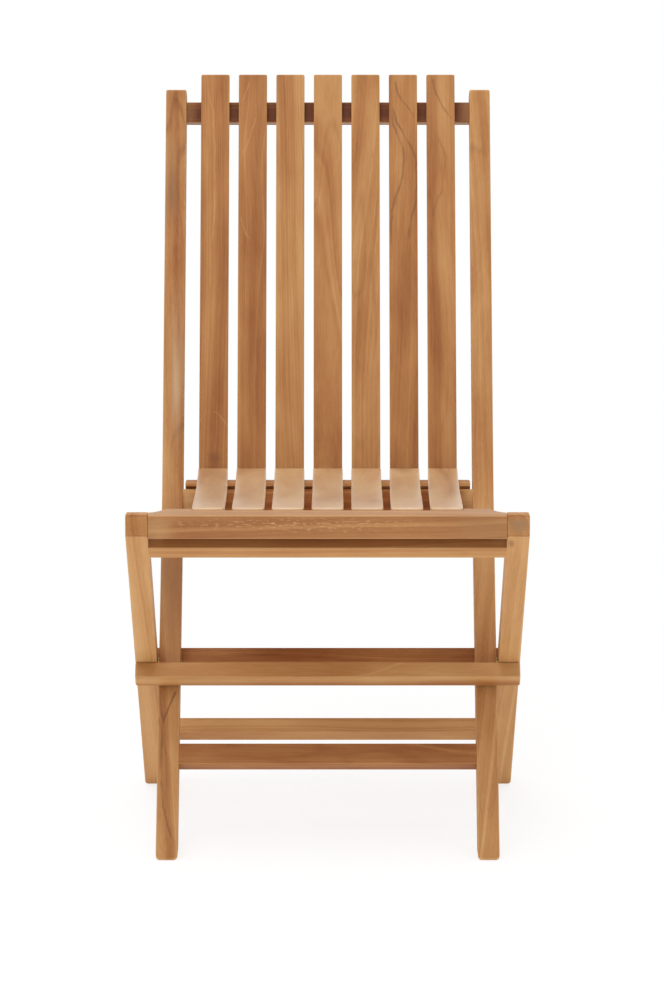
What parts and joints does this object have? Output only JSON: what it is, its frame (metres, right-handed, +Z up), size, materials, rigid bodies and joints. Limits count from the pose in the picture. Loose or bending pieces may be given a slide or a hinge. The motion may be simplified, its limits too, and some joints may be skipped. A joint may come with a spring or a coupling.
{
  "type": "folding patio chair",
  "caption": "Folding teak chair without armrests: bent stiles, crossed rear legs, dished slatted seat and tall slatted back.",
  "frame": {"origin": "on the floor, at the centre of the open chair's outline", "axes": "+X across the chair, to the right as seen from the front, +Y to the back, +Z up"},
  "size_m": [0.47, 0.6178, 0.8963],
  "materials": {
    "teak": "sanded, unvarnished, with straight to wavy grain",
    "brass": "dull"
  },
  "bodies": {
    "front_frame": {"stile_left": "teak", "stile_right": "teak", "top_rail": "teak", "seat_rail": "teak", "front_stretcher": "teak", "back_slat_1": "teak", "back_slat_2": "teak", "back_slat_3": "teak", "back_slat_4": "teak", "back_slat_5": "teak", "back_slat_6": "teak", "back_slat_7": "teak", "back_screw_low_1": "brass", "back_screw_low_2": "brass", "back_screw_low_3": "brass", "back_screw_low_4": "brass", "back_screw_low_5": "brass", "back_screw_low_6": "brass", "back_screw_low_7": "brass", "back_screw_high_1": "brass", "back_screw_high_2": "brass", "back_screw_high_3": "brass", "back_screw_high_4": "brass", "back_screw_high_5": "brass", "back_screw_high_6": "brass", "back_screw_high_7": "brass", "pivot_bolt_left": "brass", "pivot_bolt_right": "brass", "pivot_nut_left": "brass", "pivot_nut_right": "brass", "pivot_washer_left": "brass", "pivot_washer_right": "brass"},
    "rear_frame": {"rear_leg_left": "teak", "rear_leg_right": "teak", "front_stop_rail": "teak", "rear_stop_rail": "teak", "rear_stretcher": "teak", "under_rail": "teak", "seat_pin_left": "brass", "seat_pin_right": "brass"},
    "seat": {"seat_front_rail": "teak", "seat_rear_batten": "teak", "seat_slat_1": "teak", "seat_slat_2": "teak", "seat_slat_3": "teak", "seat_slat_4": "teak", "seat_slat_5": "teak", "seat_slat_6": "teak", "seat_slat_7": "teak", "seat_screw_1": "brass", "seat_screw_2": "brass", "seat_screw_3": "brass", "seat_screw_4": "brass", "seat_screw_5": "brass", "seat_screw_6": "brass", "seat_screw_7": "brass"}
  },
  "joints": [
    {"name": "frame_fold", "type": "hinge", "parent": "front_frame", "child": "rear_frame", "pos_m": [0, -0.0594, 0.20341], "axis": [-1, 0, 0], "range_deg": [0, 71]},
    {"name": "seat_fold", "type": "hinge", "parent": "rear_frame", "child": "seat", "pos_m": [0, -0.29164, 0.4305], "axis": [1, 0, 0], "range_deg": [0, 144.2]}
  ],
  "couplings": [
    {"joint": "seat_fold", "follows": "frame_fold", "ratio": 2.03}
  ]
}
